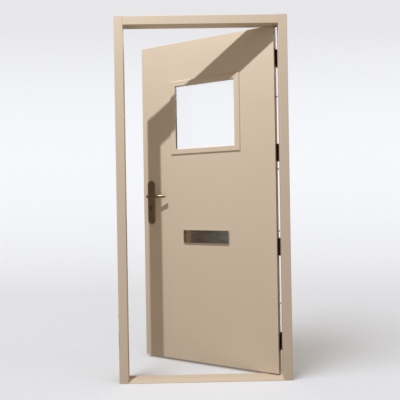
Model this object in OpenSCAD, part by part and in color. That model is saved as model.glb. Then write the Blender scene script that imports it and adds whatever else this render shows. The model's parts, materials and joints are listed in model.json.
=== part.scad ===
// Steel security door: a glazed leaf with a letter plate, hung in its own steel frame.
// The origin is on the floor under the middle of the frame. -Y is the push side, +X the hinge side.
// Leaf pieces are drawn shut and then turned about the hinge pins by leaf_open.

/* [Frame] */
// Overall width of the frame
frame_w = 992; // [800:1:1200]
// Overall height of the frame
frame_h = 2100; // [1900:1:2400]
// Depth of the frame from its front face to its back face
frame_d = 94; // [88:1:120]
// Width of a jamb's front face
jamb_face = 51.5; // [45:0.5:70]
// Height of the head's front face
head_face = 51; // [45:0.5:70]
// Depth of the stop that the leaf shuts against
stop_d = 41; // [36:0.5:46]
// Step from the stop's edge back to the rebate
rebate_step = 10.5; // [9:0.5:16]
// Thickness of the folded frame sheet
frame_sheet = 1.6; // [1.2:0.1:2]
// Length of the folds that lie against the wall
wall_return = 18; // [12:1:24]
// Outside radius of the frame's folds
fold_r = 2.5; // [2.2:0.1:4]

/* [Threshold] */
// Height of the threshold's front lip
lip_h = 3; // [2.6:0.1:5]
// Height of the ramp's crest at the stop
crest_h = 12; // [8:0.5:16]
// Height of the flat run behind the stop
run_h = 10; // [7:0.5:11]
// Wall thickness of the threshold section
threshold_wall = 2; // [1.5:0.1:2.5]

/* [Leaf] */
// Thickness of the leaf
leaf_t = 50; // [48:0.5:58]
// Gap between the leaf's edges and the rebate
edge_gap = 3; // [2.5:0.1:4]
// Gap between the stop and the shut leaf, filled by the seal
seal_gap = 3; // [2.5:0.1:4]
// Gap between the threshold's flat run and the leaf
foot_gap = 8; // [5:0.5:12]
// Thickness of the leaf's skins
skin = 1.5; // [1.2:0.1:2]
// Thickness of the stiles behind the leaf's edges
stile_t = 3; // [2.6:0.1:4]
// Width of the folds of the stiles and channels
stile_fold = 40; // [30:1:50]
// Thickness of the top and bottom channels
channel_t = 2; // [1.5:0.1:3]
// Angle at which the leaf stands open
leaf_open = 25.6; // [0:0.1:90]

/* [Window] */
// Width of the clear view on the push side
view_w = 402; // [250:1:480]
// Height of the clear view on the push side
view_h = 402; // [250:1:480]
// Depth of the clear view's middle below the leaf's top
view_drop = 482; // [420:1:560]
// Width of the bead's face on the push side
push_bead_w = 37; // [30:1:45]
// Height of the push bead above the skin
push_bead_rise = 7; // [4:0.5:10]
// Extra clear view on the pull side, each way
pull_view_extra = 18; // [6:1:20]
// Width of the bead's face on the pull side
pull_bead_w = 26; // [22:1:30]
// Thickness of the pull bead's flange
pull_bead_rise = 3; // [2:0.5:5]
// Depth of the glass behind the push skin's face
glass_depth = 11; // [8:0.5:12]
// Thickness of one pane
pane_t = 6; // [4:0.5:6.5]
// Thickness of the spacer between the panes
spacer_t = 12; // [8:0.5:14]
// Thickness of the pull gasket
pull_gasket_t = 3; // [2:0.5:4]
// Number of screws along each side of the pull bead
bead_screws_side = 3; // [2:1:5]

/* [Hinges] */
// Number of hinges
hinge_count = 4; // [4]
// Height of each hinge
hinge_h = 100; // [80:1:120]
// Depth of the end hinges' middles from the leaf's ends
hinge_end = 178; // [140:1:240]
// Distance of the pin's axis from the leaf's pull face
pin_offset = 12; // [11:0.5:16]
// Radius of the hinge pin
pin_r = 5; // [4:0.5:5.5]
// Radius of the hinge knuckle
knuckle_r = 8; // [7.5:0.5:9]
// Thickness of the hinge plates
plate_t = 2.9; // [2.5:0.1:3]
// Width of the plate's flat between its edge and the nearer of the leaf's and the frame's back faces
plate_w = 30; // [26:1:34]
// Number of knuckles on a hinge, shared between its plates
knuckles = 5; // [3, 5]
// Distance from each inner hinge's middle to the dog bolt on its side nearer the leaf's middle
dog_inner = 98.417; // [75:0.001:150]
// Distance from each end hinge's middle to the dog bolt next to it
dog_outer = 233.25; // [150:0.25:260]
// Radius of a dog bolt
dog_r = 6; // [5:0.5:7]
// Length of a dog bolt outside the leaf's edge
dog_reach = 12; // [8:0.5:14]

/* [Letter plate] */
// Width of the letter plate
letter_w = 308; // [260:1:340]
// Height of the letter plate
letter_h = 80; // [74:1:90]
// Depth of the plate's middle below the leaf's top
letter_drop = 1244; // [1150:1:1350]
// Width of the slot that letters pass through
slot_w = 250; // [200:1:252]
// Height of the slot that letters pass through
slot_h = 38; // [30:1:38]
// Thickness of the letter plate
letter_t = 9; // [8:0.5:12]
// Thickness of the flap
flap_t = 3; // [2.5:0.5:4]
// Border of the plate around its flap
letter_rim = 12; // [9:0.5:14]

/* [Lock and handles] */
// Distance of the spindle from the leaf's lock edge
backset = 60; // [50:1:70]
// Depth of the spindle below the leaf's top
spindle_drop = 986; // [900:1:1060]
// Distance from the spindle down to the key cylinder
lock_centres = 72; // [72:1:92]
// Width of the handle's backplate
backplate_w = 52; // [44:1:56]
// Length of the handle's backplate
backplate_h = 287; // [270:1:300]
// Thickness of the handle's backplate
backplate_t = 9; // [6:0.5:12]
// Distance of the backplate's middle below the spindle
backplate_low = 39.5; // [30:0.5:50]
// Length of the lever from the spindle to its tip
lever_l = 125; // [100:1:140]
// Distance of the lever's middle line from the leaf's face
lever_out = 50; // [42:1:60]
// Radius of the lever's bar
lever_r = 9.5; // [7:0.5:10]
// Side of the square spindle
spindle_side = 8; // [7:0.5:9]
// Distance that the latch stands out of the leaf's edge
latch_reach = 12; // [9:0.5:14]
// Throw of the deadbolt
bolt_throw = 20; // [14:0.5:22]
// Depth of the lock case behind the spindle
case_back = 27; // [25:1:40]
// Thickness of the lock case
case_t = 18; // [16:0.5:20]

/* [Hidden] */
$fn = 48;

paint = [0.84, 0.77, 0.69];
steel = [0.45, 0.43, 0.40];
dark_steel = [0.28, 0.26, 0.24];
black_rubber = [0.08, 0.08, 0.08];
zinc = [0.72, 0.73, 0.74];

// Clearances
slack = 0.3;            // between pieces that lie beside each other
run_fit = 0.06;         // radial, round a turning pin
screw_fit = 0.1;        // radial, round a screw
cut = 1;                // how far a cut runs past a surface

// Frame
front_y = -frame_d / 2;
half_w = frame_w / 2;
stop_x = half_w - jamb_face;
rebate_x = stop_x + rebate_step;
stop_z = frame_h - head_face;
rebate_z = stop_z + rebate_step;
stop_y = front_y + stop_d;

// Leaf, drawn shut
push_y = stop_y + seal_gap;
leaf_x = rebate_x - edge_gap;
leaf_bottom = run_h + foot_gap;
leaf_top = rebate_z - edge_gap;
leaf_mid_z = (leaf_top + leaf_bottom) / 2;
seam = 0.4;             // joint between the two skins along the leaf's edges
skin_split = leaf_t / 2;
axis_x = (leaf_x + rebate_x) / 2;
axis_y = push_y + leaf_t + pin_offset;

// Window
view_z = leaf_top - view_drop;
push_cut_w = view_w + 38;
push_cut_h = view_h + 38;
pull_view_w = view_w + 2 * pull_view_extra;
pull_view_h = view_h + 2 * pull_view_extra;
glass_cover = 12;       // how far the glass runs behind the pull bead
glass_w = pull_view_w + 2 * glass_cover;
glass_h = pull_view_h + 2 * glass_cover;
well_w = glass_w + 4;   // cut-out that the glass is set in
well_h = glass_h + 4;
glass_back = glass_depth + 2 * pane_t + spacer_t;
push_gasket_t = 4;      // thickness that bears on the glass
gasket_face = glass_depth - push_gasket_t;
lining_t = 5.7;         // gasket between the view and the push bead's leg
bead_slope = 2.5;       // fall of the push bead's outer chamfer
bead_screw_l = 10;      // length of a bead screw below the leaf's pull face
bead_screw_edge = 6.5;  // from a bead screw to the pull bead's outer edge
bead_screw_end = 30;    // from the end screws to the view's corners

// Hinges
hinge_pitch = (leaf_top - leaf_bottom - 2 * hinge_end) / (hinge_count - 1);
function hinge_z(i) = leaf_top - hinge_end - i * hinge_pitch;
plate_edge_y = min(axis_y - pin_offset, frame_d / 2) - plate_w;
plate_slit = 0.1;       // from the axis plane to each plate
knuckle_h = hinge_h / knuckles;
knuckle_gap = 0.4;
screw_r = 2.5;
head_r = 4.8;
head_h = 2.4;
dog_z = [hinge_z(0) - dog_outer, hinge_z(1) - dog_inner, hinge_z(2) + dog_inner, hinge_z(3) + dog_outer];
dog_hole_r = dog_r + 3;
dog_y = push_y + leaf_t / 2;

// Letter plate
letter_z = leaf_top - letter_drop;
flap_w = letter_w - 2 * letter_rim;
flap_h = letter_h - 2 * letter_rim;
flap_gap = 0.7;
flap_pin_r = 1.4;
flap_axis_drop = 2.6;   // from the flap's top edge to its pin
sleeve_w = slot_w + 12;
sleeve_h = slot_h + 12;
sleeve_t = 3;
letter_bolt_x = letter_w / 2 - letter_rim / 2;
letter_bolt_r = 2.5;
letter_head_r = 4.5;
letter_head_t = 3;

// Lock
lock_x = -leaf_x + backset;
spindle_z = leaf_top - spindle_drop;
cylinder_z = spindle_z - lock_centres;
plate_mid_z = spindle_z - backplate_low;
forend_t = 3;
forend_w = 24;
forend_h = 235;
case_wall = 1.5;
case_top = spindle_z + 58;
case_bottom = cylinder_z - 34;
case_front = -leaf_x + forend_t;
case_d = backset - forend_t + case_back;
forend_mid_z = (case_top + case_bottom) / 2;
follower_r = 8.5;
lock_y = leaf_t / 2;    // depth of the lock's middle behind the push face
latch_z = spindle_z + 26;
latch_h = 20;
latch_t = 12;
bolt_z = cylinder_z + 37;
bolt_h = 30;
bolt_t = 12;
tail_t = 8;
bolt_slack = 0.25;
spindle_grip = 14;      // how far the spindle runs into a lever's neck
neck_r = 10;
sleeve_r = 12;          // hole in the skins round a handle's neck and spindle
cylinder_r = 8.5;
cylinder_leg_r = 5;
cylinder_leg = 20;      // from the plug's axis down to the middle of the cylinder's round foot
cylinder_over = 2;      // how far the cylinder stands out of a backplate
plug_r = 6.5;
cam_w = 10;
cam_r = 15;
handle_bolt_r = 2.5;
handle_bolt_end = 4;    // blind metal of the push side's backplate in front of its bolts
handle_bolt_z = [spindle_z + 68, cylinder_z - 60];

// Keep
keep_t = 2.5;
keep_w = 26;
keep_h = 200;
keep_z = (latch_z + bolt_z) / 2;
keep_seat_x = -rebate_x - keep_t;
keep_depth = bolt_throw + 5;
pocket_slack = 2;

// Fixing holes through the jambs
fixing_r = 5;
fixing_y = stop_y + 26;
// each lies halfway between a hinge and the dog bolt next to it
fixing_z = [(hinge_z(3) + dog_z[3]) / 2, (hinge_z(2) + dog_z[3]) / 2,
    (hinge_z(1) + dog_z[0]) / 2, (hinge_z(0) + dog_z[0]) / 2];

// Points of a polygon whose corners [x, y, radius] are rounded where their radius isn't zero
function unit(v) = v / norm(v);
function turn(a) = a > 180 ? a - 360 : (a < -180 ? a + 360 : a);
function corner(a, b, c, r) =
    let (u = unit(a - b), w = unit(c - b), half = acos(u * w) / 2)
    let (mid = b + unit(u + w) * r / sin(half))
    let (p = b + u * r / tan(half) - mid, q = b + w * r / tan(half) - mid)
    let (start = atan2(p[1], p[0]), sweep = turn(atan2(q[1], q[0]) - start))
    [for (k = [0 : 4]) mid + r * [cos(start + sweep * k / 4), sin(start + sweep * k / 4)]];
function xy(p) = [p[0], p[1]];
function rounded(path) = [
    for (i = [0 : len(path) - 1])
        let (a = path[(i + len(path) - 1) % len(path)], b = path[i], c = path[(i + 1) % len(path)])
        each (b[2] > 0 ? corner(xy(a), xy(b), xy(c), b[2]) : [xy(b)])];

// Box from its low corner to its high corner
module span(low, high) {
    translate(low) cube(high - low);
}

// Rod along X from its low end
module rod_x(length, r) {
    rotate([0, 90, 0]) cylinder(h = length, r = r);
}

// Rod along Y from its low end
module rod_y(length, r) {
    rotate([-90, 0, 0]) cylinder(h = length, r = r);
}

// Countersunk screw along Y, its head's face at y = 0 and its shank running to +Y
module sunk_screw_y(length) {
    rotate([-90, 0, 0]) cylinder(h = head_h, r1 = head_r, r2 = screw_r);
    rod_y(length, screw_r);
}

// Hole for that screw
module sunk_hole_y(length) {
    translate([0, -slack, 0])
    rotate([-90, 0, 0]) cylinder(h = head_h + slack, r1 = head_r + slack, r2 = screw_r + screw_fit);
    rod_y(length, screw_r + screw_fit);
}

// Turns a screw or hole along Y so that it runs along +X
module along_x() {
    rotate([0, 0, -90]) children();
}

// Puts a piece drawn on the shut leaf, with y = 0 on its push face, where the open leaf has it
module on_leaf() {
    translate([axis_x, axis_y, 0])
    rotate([0, 0, -leaf_open])
    translate([-axis_x, push_y - axis_y, 0])
    children();
}

// Turns a push-side piece into its pull-side twin about the leaf's middle plane
module pull_side() {
    translate([0, leaf_t, 0]) mirror([0, 1, 0]) children();
}

// Plate with rounded corners, w along X and h along Z, its back at y = 0 and its face at y = -t
module round_plate(w, h, t, r) {
    span([-w / 2 + r, -t, -h / 2], [w / 2 - r, 0, h / 2]);
    span([-w / 2, -t, -h / 2 + r], [w / 2, 0, h / 2 - r]);
    for (sx = [-1, 1], sz = [-1, 1])
        translate([sx * (w / 2 - r), -t, sz * (h / 2 - r)]) rod_y(t, r);
}

// Flat ring: a rectangle with a rectangular hole, from depth y0 to y1
module ring(w, h, hole_w, hole_h, y0, y1) {
    difference() {
        span([-w / 2, y0, -h / 2], [w / 2, y1, h / 2]);
        span([-hole_w / 2, y0 - cut, -hole_h / 2], [hole_w / 2, y1 + cut, hole_h / 2]);
    }
}

// ---- Frame ----

// Folded frame section: across runs from the wall side to the opening, depth from the front face
module frame_section(face) {
    t = frame_sheet;
    in_r = fold_r - t;
    back = face - rebate_step;
    polygon(rounded([
        [0, wall_return, 0], [0, 0, fold_r], [face, 0, fold_r], [face, stop_d, fold_r],
        [back, stop_d, in_r], [back, frame_d, fold_r], [0, frame_d, fold_r], [0, frame_d - wall_return, 0],
        [t, frame_d - wall_return, 0], [t, frame_d - t, in_r], [back - t, frame_d - t, in_r],
        [back - t, stop_d - t, fold_r], [face - t, stop_d - t, in_r], [face - t, t, in_r],
        [t, t, in_r], [t, wall_return, 0]]));
}

// Jamb on the +X side
module jamb() {
    difference() {
        translate([half_w, front_y, 0]) mirror([1, 0, 0]) linear_extrude(frame_h) frame_section(jamb_face);
        for (z = fixing_z)
            translate([rebate_x - cut, fixing_y, z]) rod_x(frame_sheet + 2 * cut, fixing_r);
        for (z = bracket_holes())
            translate([stop_x - cut, bracket_y, z]) rod_x(frame_sheet + 2 * cut, screw_r + screw_fit);
    }
}

module hinge_jamb() {
    color(paint)
    difference() {
        jamb();
        for (i = [0 : hinge_count - 1])
            span([rebate_x - cut, plate_edge_y - slack, hinge_z(i) - hinge_h / 2 - slack],
                 [rebate_x + frame_sheet, frame_d / 2 + cut, hinge_z(i) + hinge_h / 2 + slack]);
        for (z = dog_z)
            translate([rebate_x - cut, dog_y, z]) rod_x(frame_sheet + 2 * cut, dog_hole_r);
    }
}

// Jamb on the -X side, pressed in behind the keep
module lock_jamb() {
    color(paint)
    difference() {
        union() {
            mirror([1, 0, 0]) jamb();
            keep_block(keep_seat_x - frame_sheet, -rebate_x, slack + frame_sheet);
        }
        keep_block(keep_seat_x, -rebate_x + cut, slack);
        keep_cut(latch_z, latch_h, latch_t);
        keep_cut(bolt_z, bolt_h, bolt_t);
        for (z = keep_screw_z()) keep_screw_place(z) sunk_hole_y(keep_t + frame_sheet + cut);
    }
}

// Block of the keep's outline, grown by extra, from one x to the other
module keep_block(low_x, high_x, extra) {
    half_y = keep_w / 2 + extra;
    half_z = keep_h / 2 + extra;
    translate([0, push_y + lock_y, keep_z]) span([low_x, -half_y, -half_z], [high_x, half_y, half_z]);
}

// Head between the jambs: its stop ends at theirs, and its rebated part runs on to their rebates
module frame_head() {
    color(paint)
    difference() {
        translate([-rebate_x, front_y, frame_h])
        rotate([0, 90, 0])
        linear_extrude(2 * rebate_x) frame_section(head_face);
        for (side = [-1, 1])
            span([side > 0 ? stop_x : -rebate_x - cut, front_y - cut, stop_z - cut],
                 [side > 0 ? rebate_x + cut : -stop_x, stop_y + fold_r, frame_h + cut]);
        for (x = bracket_x())
            translate([x, bracket_y, stop_z - cut])
            cylinder(h = frame_sheet + 2 * cut, r = screw_r + screw_fit);
    }
}

module threshold() {
    w = threshold_wall;
    crest_run = 7;
    color(paint)
    difference() {
        translate([-rebate_x, front_y, 0])
        rotate([90, 0, 90])
        linear_extrude(2 * rebate_x)
        difference() {
            polygon(rounded([
                [0, 0, 0], [0, lip_h, 1], [stop_d - crest_run, crest_h, 2], [stop_d, crest_h, 0.8],
                [stop_d, run_h, 0], [frame_d, run_h, 1], [frame_d, 0, 0]]));
            polygon([[2 * w + 4, w / 2], [2 * w + 4, lip_h - w / 4], [stop_d - crest_run, crest_h - w],
                [stop_d - w, crest_h - w], [stop_d - w, run_h - w], [frame_d - w, run_h - w],
                [frame_d - w, w / 2]]);
        }
        for (side = [-1, 1])
            span([side > 0 ? stop_x : -rebate_x - cut, front_y - cut, -cut],
                 [side > 0 ? rebate_x + cut : -stop_x, stop_y + fold_r, crest_h + cut]);
    }
}

// Angle brackets inside the head's ends, screwed to the head and the jambs
bracket_t = 3;
bracket_leg = 38;
bracket_w = 26;
bracket_y = front_y + 20;
function bracket_holes() = [stop_z + frame_sheet + 22];
function bracket_x() = [-(stop_x - 26), stop_x - 26];

module corner_brackets() {
    low_z = stop_z + frame_sheet;
    color(zinc)
    for (side = [0, 1]) mirror([side, 0, 0])
    difference() {
        union() {
            span([stop_x - bracket_leg, bracket_y - bracket_w / 2, low_z],
                 [stop_x, bracket_y + bracket_w / 2, low_z + bracket_t]);
            span([stop_x - bracket_t, bracket_y - bracket_w / 2, low_z],
                 [stop_x, bracket_y + bracket_w / 2, low_z + bracket_leg]);
        }
        for (z = bracket_holes())
            translate([stop_x - bracket_t - cut, bracket_y, z])
            rod_x(bracket_t + 2 * cut, screw_r + screw_fit);
        translate([bracket_x()[1], bracket_y, low_z - cut])
        cylinder(h = bracket_t + 2 * cut, r = screw_r + screw_fit);
    }
}

// Pan-head screws of the corner brackets
module corner_screws() {
    color(zinc)
    for (side = [0, 1]) mirror([side, 0, 0]) {
        for (z = bracket_holes())
            translate([stop_x - bracket_t, bracket_y, z]) {
                rod_x(12, screw_r);
                translate([-3, 0, 0]) rod_x(3, 4.5);
            }
        translate([bracket_x()[1], bracket_y, stop_z]) {
            cylinder(h = 12, r = screw_r);
            translate([0, 0, -2]) cylinder(h = 2, r = 4.5);
        }
    }
}

// Seal on the stop's back face, round three sides
seal_w = 7.5;
seal_t = seal_gap - slack;
module frame_seal() {
    seal_x = stop_x + (rebate_step - seal_w) / 2;
    seal_z = stop_z + (rebate_step - seal_w) / 2;
    color(black_rubber) {
        for (side = [0, 1]) mirror([side, 0, 0])
            span([seal_x, stop_y, crest_h + slack], [seal_x + seal_w, stop_y + seal_t, seal_z + seal_w]);
        span([-seal_x, stop_y, seal_z], [seal_x, stop_y + seal_t, seal_z + seal_w]);
    }
}

// Plates inside the hinge jamb that the hinges screw into
backer_t = 4;
backer_h = hinge_h + 30;
module hinge_backers() {
    back_x = rebate_x + frame_sheet;
    color(zinc)
    for (i = [0 : hinge_count - 1])
        difference() {
            span([back_x, plate_edge_y - 3, hinge_z(i) - backer_h / 2],
                 [back_x + backer_t, frame_d / 2 - fold_r, hinge_z(i) + backer_h / 2]);
            for (p = plate_holes())
                translate([back_x - cut, p[0], hinge_z(i) + p[1]])
                rod_x(backer_t + 2 * cut, screw_r + screw_fit);
        }
}

// ---- Keep on the lock jamb ----

function keep_screw_z() = [keep_z - keep_h / 2 + 14, keep_z + keep_h / 2 - 14];

// Puts a screw or its hole on the keep's face, running into the jamb
module keep_screw_place(z) {
    translate([-rebate_x, push_y + lock_y, z]) mirror([1, 0, 0]) along_x() children();
}

// Hole that a bolt enters, from the keep's face into the jamb
module keep_cut(z, h, t) {
    half_y = t / 2 + pocket_slack;
    half_z = h / 2 + pocket_slack;
    translate([0, push_y + lock_y, z])
    span([keep_seat_x - frame_sheet - cut, -half_y, -half_z], [-rebate_x + cut, half_y, half_z]);
}

module keep_plate() {
    color(steel)
    difference() {
        translate([keep_seat_x, push_y + lock_y, keep_z])
        rotate([0, 0, 90]) round_plate(keep_w, keep_h, keep_t, 4);
        keep_cut(latch_z, latch_h, latch_t);
        keep_cut(bolt_z, bolt_h, bolt_t);
        for (z = keep_screw_z()) keep_screw_place(z) sunk_hole_y(keep_t + cut);
    }
}

module keep_box() {
    wall = 1.5;
    mid_y = push_y + lock_y;
    half = bolt_t / 2 + pocket_slack;
    box_x = keep_seat_x - frame_sheet;
    low = bolt_z - bolt_h / 2 - pocket_slack;
    high = latch_z + latch_h / 2 + pocket_slack;
    bolt_top = bolt_z + bolt_h / 2 + pocket_slack;
    latch_low = latch_z - latch_h / 2 - pocket_slack;
    color(zinc)
    difference() {
        span([box_x - keep_depth, mid_y - half - wall, low - wall],
             [box_x, mid_y + half + wall, high + wall]);
        span([box_x - keep_depth + wall, mid_y - half, low], [box_x + cut, mid_y + half, bolt_top]);
        span([box_x - keep_depth + wall, mid_y - half, latch_low], [box_x + cut, mid_y + half, high]);
    }
}

module keep_screws() {
    color(steel)
    for (z = keep_screw_z()) keep_screw_place(z) sunk_screw_y(14);
}

// ---- Hinges ----

// Screw places on a hinge plate, as [y, height above the hinge's middle]
function plate_holes() = [for (row = [0, 1], k = [0 : 1])
    [plate_edge_y + 7 + 14 * row, (k * 2 - 1) * (row == 0 ? 40 : 18)]];

// One hinge plate with its share of the knuckles; first is 0 for the frame's plate and 1 for the leaf's
module hinge_half(z, first) {
    sx = first == 0 ? 1 : -1;
    difference() {
        union() {
            translate([axis_x, 0, z])
            mirror([first == 0 ? 0 : 1, 0, 0])
            span([plate_slit, plate_edge_y, -hinge_h / 2], [plate_slit + plate_t, axis_y, hinge_h / 2]);
            for (k = [first : 2 : knuckles - 1])
                translate([axis_x, axis_y, z - hinge_h / 2 + k * knuckle_h + knuckle_gap / 2])
                cylinder(h = knuckle_h - knuckle_gap, r = knuckle_r);
        }
        // room for the other half's knuckles
        for (k = [1 - first : 2 : knuckles - 1])
            translate([axis_x, axis_y, z - hinge_h / 2 + k * knuckle_h - knuckle_gap / 2])
            cylinder(h = knuckle_h + knuckle_gap, r = knuckle_r + 0.6);
        translate([axis_x, axis_y, z - hinge_h / 2 - cut])
        cylinder(h = hinge_h + 2 * cut, r = pin_r + run_fit);
        for (p = plate_holes())
            translate([axis_x + sx * plate_slit, p[0], z + p[1]])
            mirror([first == 0 ? 0 : 1, 0, 0]) along_x() sunk_hole_y(plate_t + cut);
    }
}

module frame_hinge(i) {
    color(dark_steel) hinge_half(hinge_z(i), 0);
}

module door_hinge(i) {
    color(dark_steel) on_leaf() translate([0, -push_y, 0]) hinge_half(hinge_z(i), 1);
}

// Pins with a button at each end
module hinge_pins() {
    button = 3;
    color(steel)
    for (i = [0 : hinge_count - 1])
        translate([axis_x, axis_y, hinge_z(i) - hinge_h / 2]) {
            translate([0, 0, -button]) cylinder(h = hinge_h + 2 * button, r = pin_r);
            translate([0, 0, hinge_h + slack]) cylinder(h = button, r = knuckle_r - 1);
            translate([0, 0, -button - slack]) cylinder(h = button, r = knuckle_r - 1);
        }
}

module frame_hinge_screws() {
    color(steel)
    for (i = [0 : hinge_count - 1], p = plate_holes())
        translate([axis_x + plate_slit, p[0], hinge_z(i) + p[1]]) along_x() sunk_screw_y(14);
}

module door_hinge_screws() {
    color(steel)
    on_leaf() translate([0, -push_y, 0])
    for (i = [0 : hinge_count - 1], p = plate_holes())
        translate([axis_x - plate_slit, p[0], hinge_z(i) + p[1]])
        mirror([1, 0, 0]) along_x() sunk_screw_y(12);
}

// Fixed bolts that stand out of the leaf's hinge edge and enter the jamb as the leaf shuts
module dog_bolts() {
    collar = 4;
    seat_x = leaf_x - skin - stile_t;
    color(zinc)
    on_leaf()
    for (z = dog_z)
        translate([0, lock_y, z]) {
            translate([seat_x, 0, 0]) rod_x(leaf_x + dog_reach - 2 - seat_x, dog_r);
            translate([leaf_x + dog_reach - 2, 0, 0])
            rotate([0, 90, 0]) cylinder(h = 2, r1 = dog_r, r2 = dog_r - 1.5);
            translate([seat_x - collar, 0, 0]) rod_x(collar, dog_r + 4);
        }
}

// ---- Leaf ----

// Everything that passes through the leaf's faces
module face_cuts(window_w, window_h) {
    translate([0, 0, view_z])
    span([-window_w / 2, -cut, -window_h / 2], [window_w / 2, leaf_t + cut, window_h / 2]);
    translate([0, 0, letter_z])
    span([-sleeve_w / 2 - slack, -cut, -sleeve_h / 2 - slack],
         [sleeve_w / 2 + slack, leaf_t + cut, sleeve_h / 2 + slack]);
    for (sx = [-1, 1])
        translate([sx * letter_bolt_x, -cut, letter_z]) rod_y(leaf_t + 2 * cut, letter_bolt_r + screw_fit);
    translate([lock_x, -cut, spindle_z]) rod_y(leaf_t + 2 * cut, sleeve_r);
    translate([lock_x, -cut, cylinder_z]) cylinder_shape(leaf_t + 2 * cut, 2 * slack);
    for (z = handle_bolt_z)
        translate([lock_x, -cut, z]) rod_y(leaf_t + 2 * cut, handle_bolt_r + screw_fit);
}

// Key cylinder's outline along Y, grown by extra
module cylinder_shape(length, extra) {
    rod_y(length, cylinder_r + extra);
    translate([0, 0, -cylinder_leg]) rod_y(length, cylinder_leg_r + extra);
    span([-cylinder_leg_r - extra, 0, -cylinder_leg], [cylinder_leg_r + extra, length, 0]);
}

// Folded tray of one skin from its face at y = 0 to the seam
module skin_tray() {
    z_size = leaf_top - leaf_bottom;
    deep = skin_split - seam / 2;
    bend = skin + 0.5;
    difference() {
        translate([0, 0, leaf_bottom])
        linear_extrude(z_size)
        polygon(rounded([[-leaf_x, deep, 0], [-leaf_x, 0, bend], [leaf_x, 0, bend], [leaf_x, deep, 0]]));
        span([-leaf_x + skin, skin, leaf_bottom + skin], [leaf_x - skin, deep + cut, leaf_top - skin]);
    }
}

// Cuts in the leaf's two long edges for the hinge plates, dog bolts and lock forend
module edge_cuts() {
    for (i = [0 : hinge_count - 1])
        span([leaf_x - skin, plate_edge_y - push_y - slack, hinge_z(i) - hinge_h / 2 - slack],
             [leaf_x + cut, leaf_t + cut, hinge_z(i) + hinge_h / 2 + slack]);
    for (z = dog_z)
        translate([leaf_x - skin - cut, lock_y, z]) rod_x(skin + 2 * cut, dog_r + screw_fit);
    translate([-leaf_x, lock_y, forend_mid_z])
    span([-cut, -forend_w / 2 - slack, -forend_h / 2 - slack],
         [skin, forend_w / 2 + slack, forend_h / 2 + slack]);
}
module push_skin() {
    color(paint)
    on_leaf()
    difference() {
        skin_tray();
        face_cuts(push_cut_w, push_cut_h);
        edge_cuts();
    }
}

module pull_skin() {
    color(paint)
    on_leaf()
    difference() {
        pull_side() skin_tray();
        face_cuts(well_w, well_h);
        edge_cuts();
        bead_screw_cuts();
    }
}

// Board core between the stiles and channels, cut round what is set in the leaf
module leaf_core() {
    core_x = leaf_x - skin - stile_fold;
    core_z = skin + stile_fold;
    color([0.75, 0.70, 0.58])
    on_leaf()
    difference() {
        span([-core_x, skin, leaf_bottom + core_z], [core_x, leaf_t - skin, leaf_top - core_z]);
        face_cuts(well_w, well_h);
        bead_screw_cuts();
        span([-core_x - cut, lock_y - case_t / 2 - slack, case_bottom - slack],
             [case_front + case_d + slack, lock_y + case_t / 2 + slack, case_top + slack]);
    }
}

// Stiffening channels inside the leaf's top and bottom
module leaf_channels() {
    half = leaf_x - skin - stile_fold;
    low = leaf_bottom + skin - leaf_mid_z;
    color(zinc)
    on_leaf()
    for (top = [0, 1])
        translate([0, 0, leaf_mid_z]) mirror([0, 0, top])
        difference() {
            span([-half, skin, low], [half, leaf_t - skin, low + stile_fold]);
            span([-half - cut, skin + channel_t, low + channel_t],
                 [half + cut, leaf_t - skin - channel_t, low + stile_fold + cut]);
        }
}

// Stile channel behind the hinge edge
module stile_channel() {
    out_x = leaf_x - skin;
    difference() {
        span([out_x - stile_fold, skin, leaf_bottom + skin], [out_x, leaf_t - skin, leaf_top - skin]);
        span([out_x - stile_fold - cut, skin + channel_t, leaf_bottom + skin - cut],
             [out_x - stile_t, leaf_t - skin - channel_t, leaf_top - skin + cut]);
    }
}

module hinge_stile() {
    color(zinc)
    on_leaf()
    difference() {
        stile_channel();
        for (i = [0 : hinge_count - 1], p = plate_holes())
            translate([leaf_x - skin - stile_t - cut, p[0] - push_y, hinge_z(i) + p[1]])
            rod_x(stile_t + 2 * cut, screw_r + screw_fit);
        for (z = dog_z)
            translate([leaf_x - skin - stile_t - cut, lock_y, z])
            rod_x(stile_t + 2 * cut, dog_r + screw_fit);
    }
}

module lock_stile() {
    color(zinc)
    on_leaf()
    difference() {
        mirror([1, 0, 0]) stile_channel();
        face_cuts(well_w, well_h);
        translate([-leaf_x, lock_y, forend_mid_z])
        span([0, -forend_w / 2 - slack, -forend_h / 2 - slack],
             [forend_t, forend_w / 2 + slack, forend_h / 2 + slack]);
        span([-leaf_x, lock_y - case_t / 2 - slack, case_bottom - slack],
             [-leaf_x + skin + stile_t + cut, lock_y + case_t / 2 + slack, case_top + slack]);
        for (z = forend_screw_z())
            translate([-leaf_x, lock_y, z]) rod_x(skin + stile_t + cut, screw_r + screw_fit);
    }
}

// ---- Window ----

// Raised bead with sloping mitred faces, and a leg set in the push skin's cut-out
module push_bead() {
    outer_w = view_w + 2 * push_bead_w;
    outer_h = view_h + 2 * push_bead_w;
    color(paint)
    on_leaf()
    translate([0, 0, view_z]) {
        difference() {
            span([-outer_w / 2, -push_bead_rise, -outer_h / 2], [outer_w / 2, 0, outer_h / 2]);
            span([-view_w / 2, -push_bead_rise - cut, -view_h / 2], [view_w / 2, cut, view_h / 2]);
            for (a = [0, 180]) {
                rotate([0, a, 0]) bead_chamfer(outer_h, outer_w);
                rotate([0, a + 90, 0]) bead_chamfer(outer_w, outer_h);
            }
        }
        ring(push_cut_w - 2 * slack, push_cut_h - 2 * slack,
             view_w + 2 * (lining_t + slack), view_h + 2 * (lining_t + slack), 0, gasket_face);
    }
}

// Wedge cut from the bead's outer top edge; across is the bead's size at right angles to the edge
module bead_chamfer(across, along) {
    top = -push_bead_rise;
    translate([-along / 2 - cut, 0, across / 2])
    rotate([90, 0, 90])
    linear_extrude(along + 2 * cut)
    polygon([[top - cut, cut], [top - cut, -2 * bead_slope], [top, -2 * bead_slope],
        [top + bead_slope, 0], [top + bead_slope, cut]]);
}

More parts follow.
